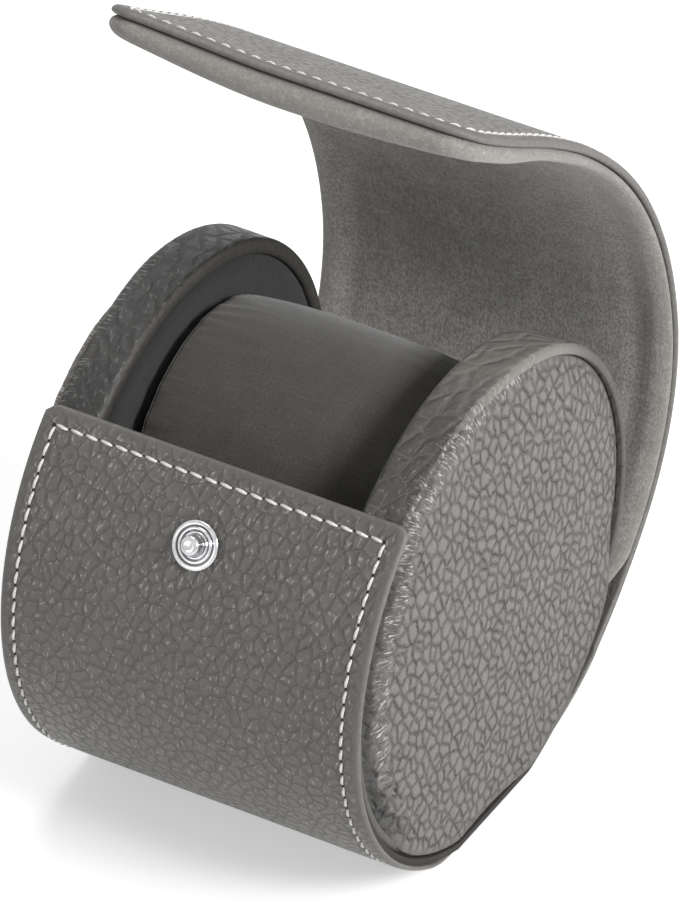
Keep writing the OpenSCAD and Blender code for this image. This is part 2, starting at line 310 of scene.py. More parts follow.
def stations(plan, start, end):
    """Places along a strip, close together at the plan's own ends."""
    s = list(np.arange(start, end, STATION_STEP)) + [end]
    for edge, corner, sign in ((plan.start, plan.start_corner, 1), (plan.end, plan.end_corner, -1)):
        if start - TINY <= edge <= end + TINY:
            s = [v for v in s if abs(v - edge) > END_REACH]
            s += list(edge + sign * END_REACH * (1 - np.sin(np.radians(np.arange(0, 91, 5)))))
            if corner > END_REACH:
                s += list(edge + sign * corner * (1 - np.sin(np.radians(np.arange(0, 60, 4)))))
    s = np.unique(np.round(np.array(s), 5))
    return s[np.concatenate([[True], np.diff(s) > LEAST_STEP])]


def rounding(d, radius):
    """0 at the edge, 1 further in than the radius, on a quarter circle."""
    return np.sqrt(np.maximum(0, 1 - (1 - np.minimum(d, radius) / radius) ** 2))


def strip_mesh(name, plan, start, end, outer, inner, radius):
    """A closed strip between two faces that are given as depths under the outline's outer face."""
    s = stations(plan, start, end)
    full = float(np.max(plan.half_at(np.array([start, end]))))
    share = columns(full) / full
    wide = len(share)
    grid_s = np.repeat(s[:, None], wide, 1)
    grid_x = share[None, :] * plan.width_at(s)[:, None]
    d = plan.edge(grid_x, grid_s)
    d[:, [0, -1]] = 0
    cuts = []
    for k, edge in ((0, plan.start), (-1, plan.end)):
        if abs(s[k] - edge) < SAME_PLACE:
            d[k, :] = 0
        else:
            cuts.append(k)
    out_depth, in_depth = outer(grid_x, grid_s, d), inner(grid_x, grid_s, d)
    middle = (out_depth + in_depth) / 2
    h = rounding(d, radius)
    free = d > TINY
    keep = free.reshape(-1)
    points, cloth = [], []
    for depth, part in ((middle + (out_depth - middle) * h, slice(None)),
                        (middle + (in_depth - middle) * h, keep)):
        points.append(on_cloth(grid_x, grid_s, depth).reshape(-1, 3)[part])
        cloth.append(np.stack([grid_x, grid_s, depth], -1).reshape(-1, 3)[part])
    points, cloth = np.concatenate(points), np.concatenate(cloth)
    rim = np.concatenate([d.reshape(-1), d.reshape(-1)[keep]])
    top = np.arange(grid_s.size).reshape(grid_s.shape)
    bottom = top.copy()
    bottom[free] = grid_s.size + np.arange(int(free.sum()))
    faces = []
    for index, flip in ((top, False), (bottom, True)):
        a, b = index[:-1, :-1], index[1:, :-1]
        c, e = index[1:, 1:], index[:-1, 1:]
        faces += np.stack([a, b, c, e] if flip else [a, e, c, b], -1).reshape(-1, 4).tolist()
    caps = []
    for k in cuts:
        ring = [int(v) for v in list(top[k]) + list(bottom[k, -2:0:-1])]
        own = list(range(len(points), len(points) + len(ring)))
        points, cloth, rim = (np.concatenate([v, v[ring]]) for v in (points, cloth, rim))
        near, far = own[:wide], [own[0]] + own[:wide - 1:-1] + [own[wide - 1]]
        for j in range(wide - 1):
            side = list(dict.fromkeys([near[j], near[j + 1], far[j + 1], far[j]]))
            caps.append(side if k == 0 else side[::-1])
    return make_mesh(name, points, faces, caps, {"cloth": cloth}, {"rim": np.minimum(rim, RIM_FAR)})


# ---------- the pieces of the flap and the folds that they bend over ----------

FOLDS = range(7)
S_ROOT = length_at(290.0)
S_MIDDLE = [S_FOLD[k] + STRIP_LEN[k] / 2 for k in FOLDS]
S_CUT = [S_ROOT] + S_MIDDLE[:6] + [S_END]
BLEND_MARGIN = 3.0


def fold_bend(k):
    """The two bodies that meet at fold k, and where the leather starts and ends bending."""
    before = "case" if k == 0 else f"flap_{k}"
    start = S_FOLD[0] - 4.0 if k == 0 else S_MIDDLE[k - 1] + BLEND_MARGIN
    end = S_FOLD[6] + 7.5 if k == 6 else S_MIDDLE[k] - BLEND_MARGIN
    ends = []
    for s in (start, end):
        y, z = on_path(s, FLAP_BACKED_T)
        ends.append((0.0, float(y) * MM, float(z) * MM))
    return before, f"flap_{k + 1}", ends[0], ends[1]


# ---------- stitching ----------

PITCH = 3.3
STITCH_LEN = 3.1
STITCH_R = 0.34
STITCH_RISE = 0.5
STITCH_SUNK = 0.22
STITCH_FLATNESS = 0.8
STITCH_LEAN = 0.34
STITCH_RINGS, STITCH_SIDES = 9, 8
HOLE_R = 0.38
HOLE_EDGE, HOLE_TOP, HOLE_BOTTOM = 0.04, 0.1, 0.5
PANEL_INSET_TOP = 4.2
PANEL_X_RIGHT = 35.9
PANEL_X_LEFT = -36.6
FLAP_INSET = 3.3
FLAP_CORNER = 8.0
CORNER_X = FLAP_HALF + TIP_SPREAD - FLAP_CORNER


def side_inset_x(s, side):
    """Place of the side stitching across the wrap, eased from the panel to the flap."""
    panel = PANEL_X_RIGHT if side > 0 else PANEL_X_LEFT
    flap = side * (FLAP_HALF - FLAP_INSET + tip_spread(s))
    return panel + (flap - panel) * smooth_step(s, S_LEAVE - 40, S_LEAVE)


def stitch_paths():
    """The panel's top row, and the long row round both sides and the flap's front edge, as (x, s)."""
    side_s = np.arange(PANEL_INSET_TOP, S_END - FLAP_CORNER, 0.5)
    right = np.stack([side_inset_x(side_s, 1), side_s], 1)
    left = np.stack([side_inset_x(side_s, -1), side_s], 1)[::-1]
    a = np.radians(np.arange(0, 91, 5))
    r = FLAP_CORNER - FLAP_INSET
    corner = np.stack([CORNER_X + r * np.cos(a), S_END - FLAP_CORNER + r * np.sin(a)], 1)
    mirrored = corner[::-1] * np.array([-1, 1])
    top = np.array([left[-1], right[0]])
    return top, np.concatenate([right, corner, mirrored, left])


def place_stitches():
    """Start and end of every stitch, and the holes between them, as (x, s)."""
    stitches, holes = [], []
    for path in stitch_paths():
        t = np.concatenate([[0], np.cumsum(np.hypot(*np.diff(path, axis=0).T))])
        n = max(1, round(t[-1] / PITCH))
        step = t[-1] / n
        for i in range(n):
            mid = (i + 0.5) * step
            span = np.array([mid - STITCH_LEN / 2, mid + STITCH_LEN / 2])
            stitches.append(np.stack([np.interp(span, t, path[:, 0]), np.interp(span, t, path[:, 1])], 1))
            holes.append([np.interp(i * step, t, path[:, 0]), np.interp(i * step, t, path[:, 1])])
    return stitches, holes


OUTER_DEPTH = 0.12
GROOVE_DEPTH = 0.3
GROOVE_WIDTH = 0.6
ROLL_DROP = 0.4
ROLL_WIDTH = 2.4
SWELL_DEPTH = 0.12
SWELL_LENGTH = 14.0
STUD_DIP = 0.25
S_STUD = length_at(STUD_A)
NO_ROW = 99.0


def stitch_line_gap(x, s):
    """Distance from the nearest row of stitches, on either side or at either end."""
    right, left = side_inset_x(s, 1), side_inset_x(s, -1)
    across = np.minimum(np.abs(x - right), np.abs(x - left))
    past_corner = s > S_END - FLAP_CORNER
    gap = np.where((s > PANEL_INSET_TOP) & ~past_corner, across, NO_ROW)
    gap = np.where((x < right) & (x > left), np.minimum(gap, np.abs(s - PANEL_INSET_TOP)), gap)
    r = FLAP_CORNER - FLAP_INSET
    corner = np.abs(np.hypot(np.abs(x) - CORNER_X, s - (S_END - FLAP_CORNER)) - r)
    front = np.abs(s - (S_END - FLAP_INSET))
    return np.where(past_corner, np.where(np.abs(x) > CORNER_X, corner, front), gap)


def soft_noise(x, s, scale, seed):
    """Slow unevenness of hand-worked leather, from -1 to 1."""
    flat_x, flat_s = np.ravel(x) / scale, np.ravel(s) / scale
    values = [noise.noise(Vector((a, b, seed))) for a, b in zip(flat_x, flat_s)]
    return np.array(values).reshape(np.shape(x))


def leather_outer(x, s, d):
    """Outer face of wrap and flap: a groove at the stitches, a rolled border and a dip at the stud."""
    groove = GROOVE_DEPTH * np.exp(-(stitch_line_gap(x, s) / GROOVE_WIDTH) ** 2)
    swell = SWELL_DEPTH * (soft_noise(x, s, SWELL_LENGTH, 3.1) - 1)
    roll = ROLL_DROP * (1 - np.minimum(d, ROLL_WIDTH) / ROLL_WIDTH) ** 2
    dip = STUD_DIP * (1 - smooth_step(np.hypot(x + PANEL_SHIFT, s - S_STUD), 4.6, 8.5))
    return OUTER_DEPTH + groove + roll + dip + 0.5 * swell * smooth_step(d, 3, 9)


def leather_at(x, s):
    """Depth of the leather's outer face at places on the wrap or flap."""
    return leather_outer(x, s, CLOTH_PLAN.edge(x, s))


def stitch_points(start, end, around):
    """Rings of points of one thread that rises out of one hole and sinks into the next."""
    t = np.arange(STITCH_RINGS) / (STITCH_RINGS - 1)
    along = (end - start) / np.hypot(*(end - start))
    across = np.array([-along[1], along[0]])
    lean = (t - 0.5) * STITCH_LEAN
    x, s = (start[i] * (1 - t) + end[i] * t + across[i] * lean for i in (0, 1))
    width = STITCH_R * np.sin(math.pi * (0.12 + 0.76 * t)) ** 0.7
    lift = STITCH_RISE * np.sin(math.pi * t) ** 0.8 - STITCH_SUNK
    side = width[:, None] * np.cos(around)
    depth = leather_at(x, s)[:, None] - lift[:, None] - STITCH_FLATNESS * width[:, None] * np.sin(around)
    return on_cloth(x[:, None] + across[0] * side, s[:, None] + across[1] * side, depth).reshape(-1, 3)


def stitch_mesh(name, ends, holes):
    """Threads, and dark discs between them: painted shade standing in for the needle holes."""
    points, faces = [], []
    around = full_turn(STITCH_SIDES)
    first = 0
    for start, end in ends:
        points.append(stitch_points(start, end, around))
        faces += tube_faces(first, STITCH_RINGS, STITCH_SIDES)
        first += STITCH_RINGS * STITCH_SIDES
    kinds = [0] * len(faces)
    for x, s in holes:
        x, s = np.array([x]), np.array([s])
        base = leather_at(x, s)
        ring = on_cloth(x + HOLE_R * np.cos(around), s + HOLE_R * np.sin(around), base - HOLE_EDGE)
        points += [on_cloth(x, s, base - HOLE_TOP), ring, on_cloth(x, s, base + HOLE_BOTTOM)]
        for j in range(STITCH_SIDES):
            k = (j + 1) % STITCH_SIDES
            faces.append((first, first + 1 + j, first + 1 + k))
            faces.append((first + 1 + j, first + 1 + STITCH_SIDES, first + 1 + k))
            kinds += [1, 1]
        first += STITCH_SIDES + 2
    piece = make_mesh(name, np.concatenate(points), faces)
    piece.data.polygons.foreach_set("material_index", kinds)
    return piece


# ---------- materials ----------


def srgb(r, g, b):
    """A colour as seen on a screen, 0 to 255, turned into scene light."""
    out = []
    for v in (r, g, b):
        v /= 255
        out.append(v / 12.92 if v <= 0.04045 else ((v + 0.055) / 1.055) ** 2.4)
    return (*out, 1.0)


class Nodes:
    """Short ways to add and join nodes in one tree."""

    def __init__(self, tree):
        self.tree = tree

    def put(self, node, values):
        """Joins or sets a node's inputs; values maps an input's name or number to what goes in."""
        for key, value in values.items():
            if isinstance(value, bpy.types.NodeSocket):
                self.tree.links.new(value, node.inputs[key])
            else:
                node.inputs[key].default_value = value

    def add(self, kind, values, output=0, **settings):
        """A new node with its inputs filled, as one of its outputs."""
        node = self.tree.nodes.new("ShaderNode" + kind)
        for key, value in settings.items():
            setattr(node, key, value)
        self.put(node, values)
        return node.outputs[output]

    def math(self, operation, a, b=0.0, clamp=False):
        return self.add("Math", {0: a, 1: b}, operation=operation, use_clamp=clamp)

    def times(self, a, b):
        return self.math("MULTIPLY", a, b)

    def plus(self, a, b):
        return self.math("ADD", a, b)

    def ramp(self, value, low, high, to_low=0.0, to_high=1.0):
        return self.add("MapRange", dict(enumerate((value, low, high, to_low, to_high))),
                        interpolation_type="SMOOTHSTEP")

    def mix(self, share, a, b):
        return self.add("Mix", {0: share, 6: a, 7: b}, 2, data_type="RGBA")

    def scale(self, vector, factor):
        return self.add("VectorMath", {0: vector, 3: factor}, operation="SCALE")

    def shift(self, vector, by):
        return self.add("VectorMath", {0: vector, 1: by}, operation="ADD")

    def noise(self, vector, scale, detail=2.0, rough=0.5, output=0):
        values = {"Vector": vector, "Scale": scale, "Detail": detail, "Roughness": rough}
        return self.add("TexNoise", values, output)

    def cells(self, vector, scale):
        """Distance to the nearest cell wall, in a flat net of cells."""
        return self.add("TexVoronoi", {"Vector": vector, "Scale": scale, "Randomness": CELL_EVENNESS},
                        "Distance", feature="DISTANCE_TO_EDGE", voronoi_dimensions="2D")

    def stretch(self, vector, scale, turn=0.0):
        """Turns the places by an angle in degrees, then scales them."""
        if turn:
            vector = self.add("Mapping", {"Vector": vector, "Rotation": (0, 0, math.radians(turn))})
        return self.add("Mapping", {"Vector": vector, "Scale": scale})

    def use(self, group, values):
        """A group's node, as its outputs."""
        node = self.tree.nodes.new("ShaderNodeGroup")
        node.node_tree = group
        self.put(node, values)
        return node.outputs

    def carried(self, name, output="Fac"):
        """A value that the mesh carries for every point: cloth, around, rim, pull, gap (painted shade),
        painted_top_light or groove (painted shade on the stud).
        """
        return self.add("Attribute", {}, output, attribute_name=name)


CELL_EVENNESS = 0.86
NET_TURN = -24
FOLD_TURN = -18
STROKE_TURN = -8
FLECK_TURN = 14


def start_group(name, inputs, outputs):
    """An empty node group; inputs maps names to defaults, None for a place, and outputs are numbers."""
    group = bpy.data.node_groups.new(name, "ShaderNodeTree")
    for label, default in inputs.items():
        kind = "NodeSocketVector" if default is None else "NodeSocketFloat"
        socket = group.interface.new_socket(name=label, in_out="INPUT", socket_type=kind)
        if default is not None:
            socket.default_value = default
    for label in outputs:
        group.interface.new_socket(name=label, in_out="OUTPUT", socket_type="NodeSocketFloat")
    given = group.nodes.new("NodeGroupInput").outputs
    return group, Nodes(group), given, group.nodes.new("NodeGroupOutput")


def build_pebble_group():
    """Pebbled grain of leather: rounded pebbles with fine creases between, from places on the cloth in mm.

    Cell is a pebble's width, Tall how much longer it is than wide, Crease the width of the creases
    as a share of the cell, Long the weight of a coarser net of folds that deepens some of them, and
    Smooth hides the grain where the leather is stretched or turned in.
    """
    inputs = {"Place": None, "Cell": 2.2, "Tall": 1.2, "Crease": 0.06, "Long": 0.6, "Smooth": 0.0}
    group, n, given, result = start_group("pebble_grain", inputs,
                                          ("Height", "Crease", "Shade", "Top", "PaintedGlint"))
    place = given["Place"]
    per_mm = n.math("DIVIDE", 1.0, given["Cell"])
    squeeze = n.add("CombineXYZ", {"X": 1.0, "Y": n.math("DIVIDE", 1.0, given["Tall"]), "Z": 0.0})
    flat = n.stretch(place, squeeze, NET_TURN)
    spread = n.noise(flat, n.times(per_mm, 0.8), 4.0, 0.7, "Color")
    offset = n.shift(spread, (-0.5, -0.5, -0.5))
    bent = n.shift(flat, n.scale(offset, n.times(given["Cell"], 0.65)))
    pebble = n.cells(bent, per_mm)
    small = n.cells(bent, n.times(per_mm, 2.3))
    fold = n.cells(n.stretch(bent, (1.0, 0.4, 1.0), FOLD_TURN), n.times(per_mm, 0.5))
    shown = n.math("SUBTRACT", 1.0, given["Smooth"], clamp=True)
    patchy = n.ramp(n.noise(place, 0.55), 0.35, 0.62, 0.3, 0.8)
    deep = n.times(n.ramp(fold, 0.02, 0.16, 1.0, 0.0), given["Long"])
    line = n.ramp(pebble, 0.0, given["Crease"], 1.0, 0.0)
    crease = n.times(n.times(line, n.math("MAXIMUM", patchy, deep)), shown)
    dome = n.times(n.ramp(pebble, 0.0, 0.3), 0.62)
    valley = n.times(n.times(n.ramp(fold, 0.0, 0.2), 0.18), given["Long"])
    height = n.plus(n.plus(dome, valley), n.times(n.ramp(small, 0.0, 0.35), 0.1))
    height = n.times(height, n.plus(n.times(shown, 0.8), 0.2))
    pores = n.noise(place, 3.5, 3.0, 0.6)
    strokes = n.noise(n.stretch(place, (1.0, 0.4, 1.0), STROKE_TURN), 1.5)
    # painted highlights: light strokes on the pebbles, kept off their creases
    painted_glints = n.times(n.ramp(pebble, 0.03, 0.09), n.ramp(strokes, 0.58, 0.68))
    n.put(result, {"Height": n.plus(height, n.times(pores, 0.16)),
                   "Crease": crease,
                   "Shade": n.noise(place, 0.08, 3.0),
                   "Top": n.times(n.ramp(pebble, 0.02, 0.3), shown),
                   "PaintedGlint": n.times(painted_glints, shown)})
    return group


def build_nap_group():
    """Nap of suede: fine fibres, brushed streaks both ways and soft patches, from places in mm."""
    group, n, given, result = start_group("suede_nap", {"Place": None, "Fibre": 3.0},
                                          ("Height", "Patch", "Fleck", "Streak"))
    place = given["Place"]
    fibre = n.noise(n.stretch(place, (1.0, 0.6, 1.0)), given["Fibre"], 4.0, 0.65)
    patch = n.noise(place, 0.16, 4.0, 0.65)
    along, across = (n.noise(n.stretch(place, way), 1.0) for way in ((1.6, 0.07, 1.0), (0.07, 1.6, 1.0)))
    n.put(result, {"Height": n.plus(fibre, n.times(n.plus(along, across), 0.35)),
                   "Patch": n.ramp(patch, 0.3, 0.7),
                   "Fleck": n.ramp(fibre, 0.35, 0.65),
                   "Streak": n.ramp(n.math("MAXIMUM", along, across), 0.45, 0.75)})
    return group


def build_wear_group():
    """Edge wear: 1 at the edge of a piece, fading unevenly over a few millimetres."""
    inputs = {"Place": None, "Rim": RIM_FAR, "Reach": 1.2, "Ragged": 0.9}
    group, n, given, result = start_group("edge_wear", inputs, ("Wear",))
    ragged = n.ramp(n.noise(given["Place"], given["Ragged"], 3.0), 0.3, 0.7, 0.45, 1.0)
    near = n.ramp(given["Rim"], 0.0, given["Reach"], 1.0, 0.0)
    n.put(result, {"Wear": n.times(near, ragged)})
    return group


def build_pull_group():
    """Fine folds square to a seam, where leather is pulled over an edge, with painted highlights on them.
    """
    group, n, given, result = start_group("seam_pull", {"Around": None, "Pull": 0.0}, ("Height", "Glint"))
    folds = n.noise(n.stretch(given["Around"], (1.0, 0.22, 0.0)), 1.15, 3.0, 0.6)
    flecks = n.noise(n.stretch(given["Around"], (1.0, 0.16, 0.0), FLECK_TURN), 2.2, 3.0, 0.65)
    # painted highlights: light flecks on the folds
    painted_glints = n.times(n.ramp(flecks, 0.53, 0.6), n.ramp(folds, 0.36, 0.48))
    n.put(result, {"Height": n.times(folds, given["Pull"]),
                   "Glint": n.times(painted_glints, n.ramp(given["Pull"], 0.15, 0.8))})
    return group


PEBBLE = build_pebble_group()
NAP = build_nap_group()
WEAR = build_wear_group()
PULL = build_pull_group()
# painted highlights on the pebbles
PAINTED_GLINT_TONE = srgb(176, 173, 168)
# edge wear on leather, and the lining's darker edge tone beside its painted light
WORN_EDGE_AND_LINING_EDGE_TONE = srgb(138, 135, 130)
# painted highlights on the folds at the cheeks' seams
GLINT_TONE = srgb(214, 211, 206)
# painted light over the top of the right rim's band
PAINTED_TOP_LIGHT_TONE = srgb(134, 131, 126)
# painted shade for the gap beside the front panel
PAINTED_GAP_SHADE_TONE = srgb(30, 29, 28)
WEAR_REACH = 1.1


def start_material(name):
    material = bpy.data.materials.new(name)
    material.use_nodes = True
    tree = material.node_tree
    return material, Nodes(tree), tree.nodes["Principled BSDF"]


def object_place(n):
    """Places in the part in mm, for pieces with no cloth attribute."""
    return n.scale(n.add("TexCoord", {}, "Object"), 1 / MM)


def add_bump(n, shader, height, strength, distance):
    normal = n.add("Bump", {"Strength": strength, "Distance": distance * MM, "Height": height})
    n.put(shader, {"Normal": normal})


def leather_material(name, tone, crease_tone, light, grain, relief, rough, border, pulled=False):
    """Pebbled leather: grain, creases, slow changes of tone, edge wear and seam folds, with painted
    highlights, painted shade and painted light.

    grain holds the pebbles' width, length over width, crease width and weight of the coarser net;
    relief the depth of the grain in mm, how dark its creases, how much painted shade darkens its valleys,
    how strong its painted highlights; border is how far from an edge in mm the grain comes back.
    """
    depth, crease_share, painted_valley_shade_share, painted_glint_share = relief
    cell, tall, crease, long_weight = grain
    material, n, shader = start_material(name)
    where = n.carried("cloth", "Vector")
    rim = n.carried("rim")
    smooth = n.ramp(rim, 0.2, border, 1.0, 0.0)
    if pulled:
        pull = n.use(PULL, {"Around": n.carried("around", "Vector"), "Pull": n.carried("pull")})
        smooth = n.math("MAXIMUM", smooth, n.times(n.carried("pull"), 0.85))
    pebbles = n.use(PEBBLE, {"Place": where, "Cell": cell, "Tall": tall, "Crease": crease,
                             "Long": long_weight, "Smooth": smooth})
    wear = n.use(WEAR, {"Place": where, "Rim": rim, "Reach": WEAR_REACH})
    layers = [(n.times(n.ramp(pebbles["Shade"], 0.3, 0.7), 0.4), light),
              # painted shade: darker towards the creases, in the pebbles' valleys
              (n.ramp(pebbles["Top"], 0.0, 1.0, painted_valley_shade_share, 0.0), crease_tone),
              (n.times(pebbles["Crease"], crease_share), crease_tone),
              # painted highlights on the pebbles
              (n.times(pebbles["PaintedGlint"], painted_glint_share), PAINTED_GLINT_TONE),
              (n.times(wear[0], 0.15 if pulled else 0.5), WORN_EDGE_AND_LINING_EDGE_TONE)]
    height = pebbles["Height"]
    if pulled:
        # painted highlights on the folds at the seams
        layers += [(n.times(pull["Glint"], 0.75), GLINT_TONE),
                   # painted light over the right rim's top
                   (n.times(n.carried("painted_top_light"), 0.8), PAINTED_TOP_LIGHT_TONE),
                   # painted shade in the gap beside the panel
                   (n.times(n.carried("gap"), 0.85), PAINTED_GAP_SHADE_TONE)]
        height = n.plus(height, n.times(pull["Height"], 1.3))
    colour = tone
    for share, over in layers:
        colour = n.mix(share, colour, over)
    n.put(shader, {"Base Color": colour, "Specular IOR Level": 0.5,
                   "Roughness": n.ramp(pebbles["Height"], 0.1, 0.9, rough + 0.12, rough - 0.03)})
    add_bump(n, shader, height, 1.0, depth)
    return material


def suede_material(name, tone, dark, light, border=None, place=None, fibre=3.0):
    """Suede: soft nap with flecks, brushed streaks and patches, and, given a border, its own edge tone at
    rolled edges.
    """
    material, n, shader = start_material(name)
    where = place(n) if place else n.carried("cloth", "Vector")
    nap = n.use(NAP, {"Place": where, "Fibre": fibre})
    colour = n.mix(n.ramp(nap["Fleck"], 0.0, 1.0, 0.3, 0.8), dark, tone)
    colour = n.mix(n.times(nap["Patch"], 0.35), colour, dark)
    colour = n.mix(n.times(nap["Streak"], 0.12), colour, light)
    # a lining whose tone is painted lighter keeps the darker edge tone where the lamps reach its rolled
    # edges
    if border:
        edge_tone, reach = border
        lamp_lit_edge = n.use(WEAR, {"Place": where, "Rim": n.carried("rim"), "Reach": reach, "Ragged": 0.8})
        colour = n.mix(n.times(lamp_lit_edge[0], 0.85), colour, edge_tone)
    n.put(shader, {"Base Color": colour, "Roughness": n.ramp(nap["Fleck"], 0.0, 1.0, 1.0, 0.88),
                   "Specular IOR Level": 0.1, "Sheen Weight": 0.3, "Sheen Roughness": 0.5})
    add_bump(n, shader, nap["Height"], 0.7, 0.2)
    return material


def plain_material(name, tone, dark, rough, metallic=0.0, scale=1.5, depth=0.03, painted_groove_shade=None):
    """Board, foam, thread and metal: fine mottling, and painted shade in every groove of turned pieces."""
    material, n, shader = start_material(name)
    speck = n.noise(object_place(n), scale, 4.0, 0.6)
    colour = n.mix(n.ramp(speck, 0.35, 0.65), dark, tone)
    if painted_groove_shade:
        # painted shade in each groove
        colour = n.mix(n.carried("groove"), colour, painted_groove_shade)
    n.put(shader, {"Base Color": colour, "Metallic": metallic,
                   "Roughness": n.ramp(speck, 0.3, 0.7, rough - 0.04, rough + 0.04)})
    add_bump(n, shader, speck, 0.4, depth)
    return material


DARK_SUEDE_TONES = srgb(52, 51, 50), srgb(32, 31, 31), srgb(66, 64, 62)
LEATHER = leather_material("grey_pebbled_leather", srgb(91, 89, 86), srgb(48, 46, 44), srgb(102, 99, 95),
                           (2.5, 1.25, 0.06, 1.0), (0.3, 0.85, 0.06, 0.45), 0.42, 3.0)
FACE_LEATHER = leather_material("stretched_pebbled_leather", srgb(111, 108, 104), srgb(26, 25, 24),
                                srgb(120, 116, 112), (2.5, 1.35, 0.115, 1.0), (0.95, 1.0, 0.25, 0.2), 0.45,
                                2.5, True)
RIM_LEATHER = leather_material("rim_leather", srgb(62, 60, 58), srgb(146, 143, 138), srgb(88, 86, 83),
                               (3.6, 1.7, 0.022, 0.8), (0.35, 0.8, 0.0, 0.25), 0.45, 1.2, True)
# a darker copy of the rim leather: painted shade for the left cheek's band
PAINTED_SHADE_RIM_LEATHER = leather_material("rim_leather_painted_shade", srgb(40, 39, 38), srgb(84, 82, 79),
                                    srgb(54, 52, 50), (3.6, 1.7, 0.022, 0.4), (0.3, 0.6, 0.0, 0.2),
                                    0.45, 1.2, True)
# the lining's tone is painted lighter, standing in for light inside the flap; its rolled edges, which the
# key lamp reaches, keep the darker edge tone
SUEDE = suede_material("grey_suede", srgb(194, 191, 186), srgb(112, 110, 106), srgb(214, 211, 206),
                       (WORN_EDGE_AND_LINING_EDGE_TONE, 4.5), fibre=2.2)
DARK_SUEDE = suede_material("dark_suede", *DARK_SUEDE_TONES, fibre=3.4)
INNER_SUEDE = suede_material("inner_suede", *DARK_SUEDE_TONES, place=object_place, fibre=3.4)
CUSHION_SUEDE = suede_material("cushion_suede", srgb(96, 94, 91), srgb(68, 66, 64), srgb(116, 113, 110))
THREAD = plain_material("white_thread", srgb(238, 236, 232), srgb(196, 194, 190), 0.7,
                        scale=4.0, depth=0.08)
# painted shade standing in for the needle holes
NEEDLE_HOLE_SHADE = plain_material("needle_hole_painted_shade", srgb(24, 23, 22), srgb(10, 10, 10), 0.9)
BOARD = plain_material("grey_fibreboard", srgb(60, 57, 54), srgb(38, 36, 34), 0.85)
FOAM = plain_material("pale_foam", srgb(210, 206, 196), srgb(170, 166, 158), 0.9, scale=2.5, depth=0.2)
# the stud's chrome gets painted shade in each groove
CHROME = plain_material("polished_chrome", srgb(214, 214, 216), srgb(196, 196, 198), 0.1, 1.0, 0.6, 0.004,
                        srgb(48, 48, 50))
STEEL = plain_material("plain_steel", srgb(190, 190, 192), srgb(160, 160, 163), 0.3, 1.0, 1.2, 0.006)

# ---------- the wrap and the flap ----------

BACK_NARROW = 1.8
LEATHER_EDGE = 0.65
FLAP_EDGE = 1.0


def wrap_half(s):
    """Half width of the leather: less at the lower back, more at the flap's soft front corners."""
    drawn_in = hump(s, (S_LEAVE - 62, S_LEAVE - 45), (S_LEAVE - 20, S_LEAVE + 8))
    wider = tip_spread(s) - BACK_NARROW * drawn_in
    return WRAP_HALF + (FLAP_HALF - WRAP_HALF) * smooth_step(s, S_LEAVE - 4, S_FOLD[0]) + wider


CLOTH_PLAN = Plan(wrap_half, 0.0, S_END, 3.0, FLAP_CORNER)


def leather_inner(x, s, d):
    """Inner face: thicker where the top edge is turned in, and over the flap's stiffener."""
    turned = (TURNED_IN_T - LEATHER_T) * (1 - smooth_step(s, 1.2, 1.75))
    backed = (FLAP_BACKED_T - LEATHER_T) * smooth_step(s, S_FOLD[0] - 1, S_FOLD[0] + 2)
    return LEATHER_T + turned + backed


def make_wrap():
    panel = strip_mesh("front_panel_leather", CLOTH_PLAN, 0.0, S_ROOT,
                       leather_outer, leather_inner, LEATHER_EDGE)
    finish_piece(panel, LEATHER, "case", ("wrap_leather",))
    for k in FOLDS:
        skin = strip_mesh(f"flap_leather_bend_{k + 1}", CLOTH_PLAN, S_CUT[k], S_CUT[k + 1],
                          leather_outer, leather_inner, LEATHER_EDGE if k == 0 else FLAP_EDGE)
        finish_piece(skin, LEATHER, nodes=(f"flap_leather_{k + 1}", f"flap_board_{k + 1}"),
                     bend=fold_bend(k))


LINING_START = S_FOLD[0] + 0.1
LINING_END = S_END - 0.25
LINING_HALF = FLAP_HALF - 0.3
LINING_EDGE = 1.9
TUCKED_HALF = CHEEK_INNER_X - PANEL_SHIFT - 0.1
TUCKED_TO = S_FOLD[0] + 8.5
WIDEN = 13.0
CORNER_SHARE = 0.72
EDGE_FULLNESS = 0.7
MIDDLE_FULLNESS = 2.0
ROLL_RISE, ROLL_AT, ROLL_LONG = 0.45, 3.2, 2.0
VALLEY_DROP, VALLEY_AT, VALLEY_LONG = 0.3, 7.6, 1.5
THIN_START = 1.3
REST_ROOM = 0.8
SOCKET_HOLE_R = 3.8


def lining_half(s):
    """The lining is narrow where it is tucked between the cheeks, and widens behind them."""
    wide = (CORNER_SHARE * smooth_step(s, TUCKED_TO, TUCKED_TO + 1.5)
            + (1 - CORNER_SHARE) * smooth_step(s, TUCKED_TO, TUCKED_TO + WIDEN))
    return TUCKED_HALF + (LINING_HALF - TUCKED_HALF) * wide + tip_spread(s)


LINING_PLAN = Plan(lining_half, LINING_START, LINING_END, 2.0, FLAP_CORNER - 0.25)


def flat_at(depth):
    """A face of cloth that lies at one depth all over."""
    return lambda x, s, d: np.full_like(x, depth)


